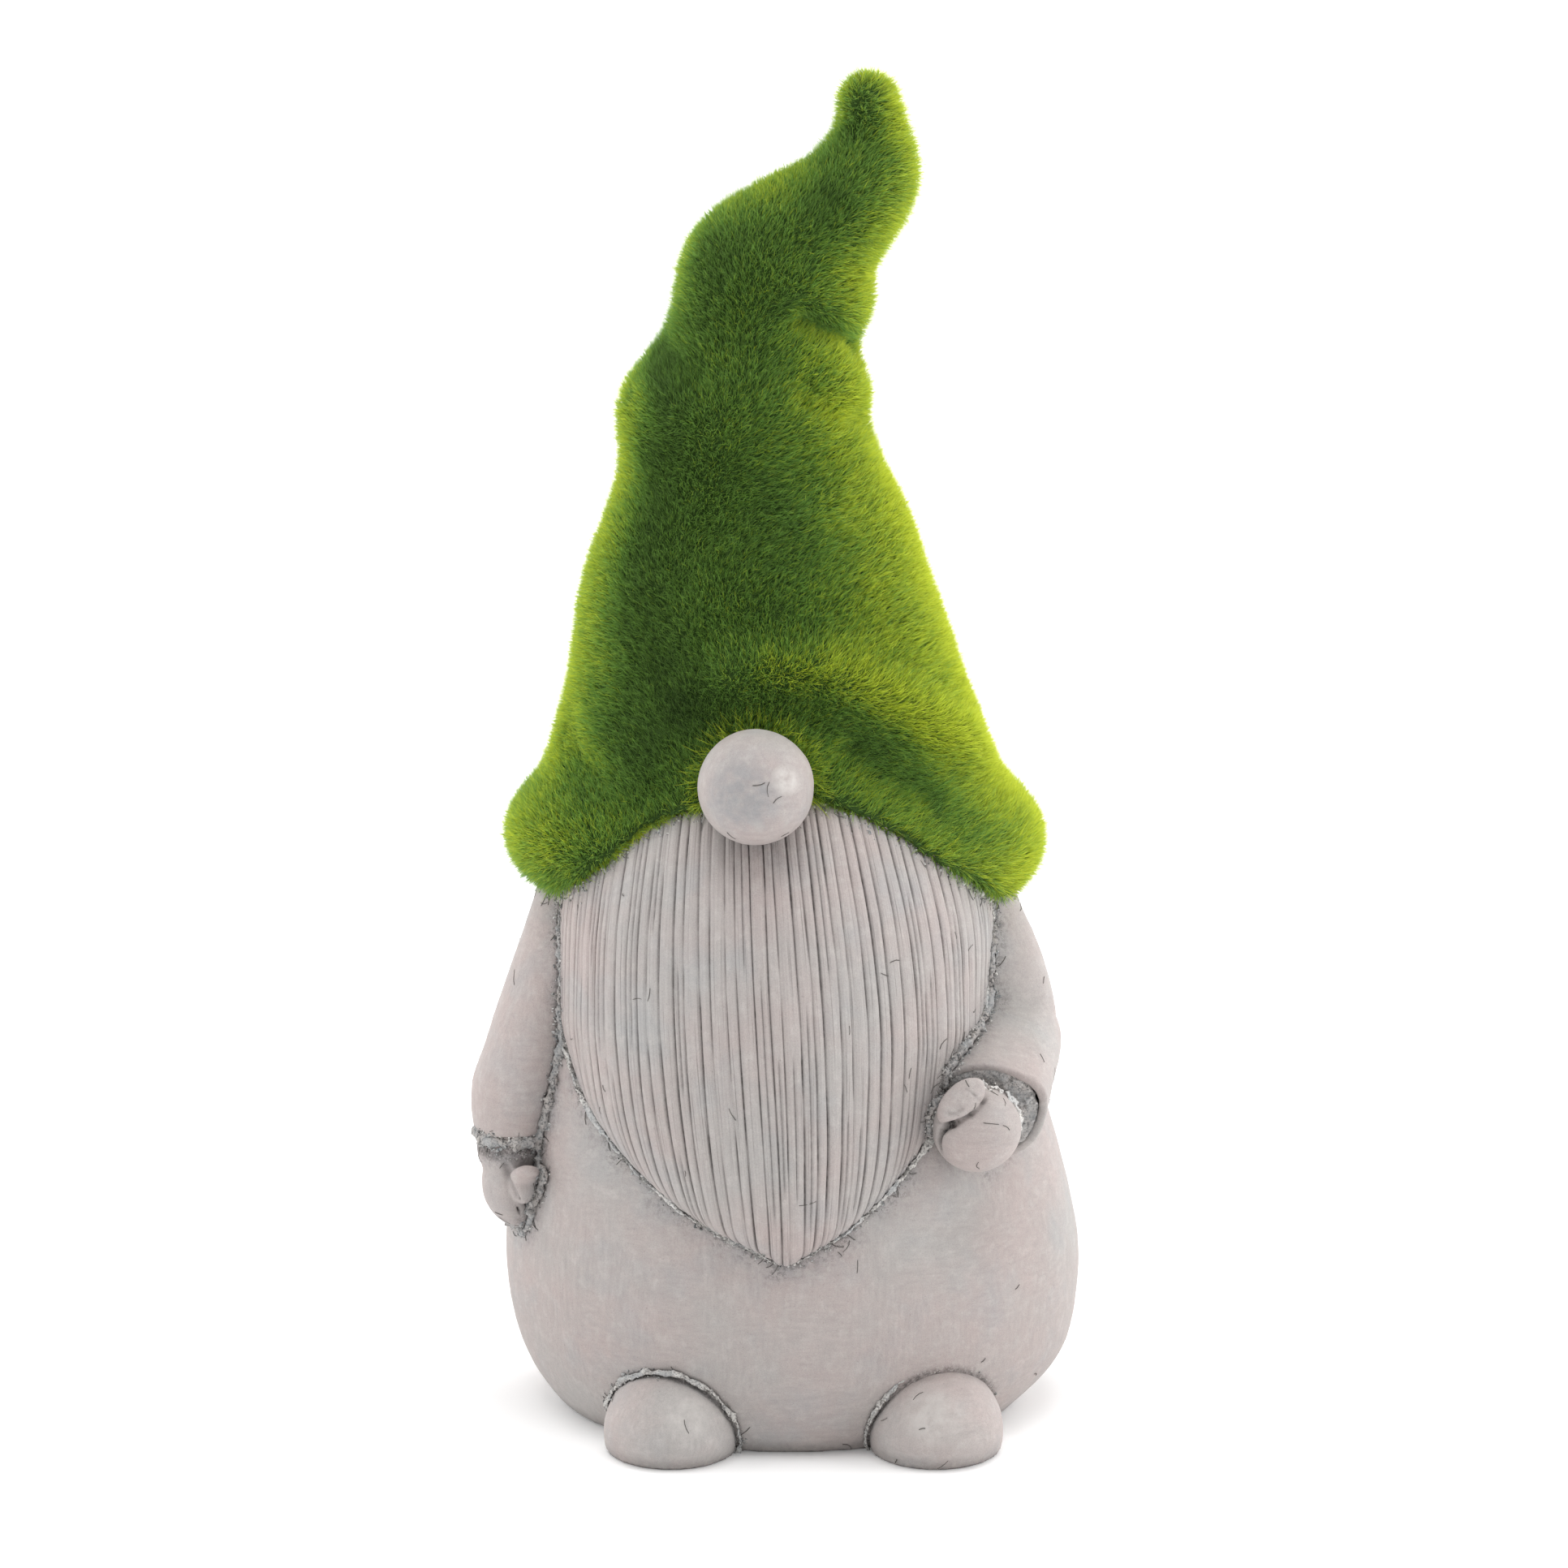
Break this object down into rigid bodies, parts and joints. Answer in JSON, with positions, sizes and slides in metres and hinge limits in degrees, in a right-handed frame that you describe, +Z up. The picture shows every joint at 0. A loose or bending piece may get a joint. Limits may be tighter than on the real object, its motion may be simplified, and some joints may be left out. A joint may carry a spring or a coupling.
{
  "type": "garden gnome figurine",
  "caption": "Free-standing cast cement garden gnome with a grooved beard, a round nose, folded sleeves and a tall crooked hat covered in green moss-like flock.",
  "frame": {"origin": "on the ground under the middle of the figure's bounding box", "axes": "+Z up along the figure, -Y to the front (nose, beard and toes), +X towards the figure's left arm, which holds the fist forward"},
  "size_m": [0.1316, 0.118, 0.3],
  "materials": {
    "cement_torso": "brushed matte cast cement with a pinkish grey wash",
    "cement_beard": "matte cast cement with combed grooves, darker in the grooves",
    "cement_nose": "burnished cast cement, slightly smoother than the rest",
    "cement_sleeves": "brushed matte cast cement",
    "cement_hands": "matte cast cement",
    "cement_feet": "matte cast cement",
    "luting_slip": "crusty pale cement slip with stray fibres",
    "seat_mortar": "coarse pale mortar",
    "hat_casting": "raw cast cement, hidden under the flock",
    "flocking_adhesive": "dark green flocking adhesive",
    "moss_flock": "standing green flock pile, dark at the root and yellow-green at the tips"
  },
  "bodies": {
    "root": {"torso_shell": "cement_torso", "beard": "cement_beard", "nose": "cement_nose", "right_sleeve": "cement_sleeves", "left_sleeve": "cement_sleeves", "right_hand": "cement_hands", "right_thumb": "cement_hands", "left_fist": "cement_hands", "left_thumb": "cement_hands", "right_foot": "cement_feet", "left_foot": "cement_feet", "beard_luting": "luting_slip", "right_foot_luting": "luting_slip", "left_foot_luting": "luting_slip", "hat_mortar": "seat_mortar", "hat_core": "hat_casting", "hat_adhesive_coat": "flocking_adhesive", "hat_flock_pile": "moss_flock"}
  },
  "joints": []
}
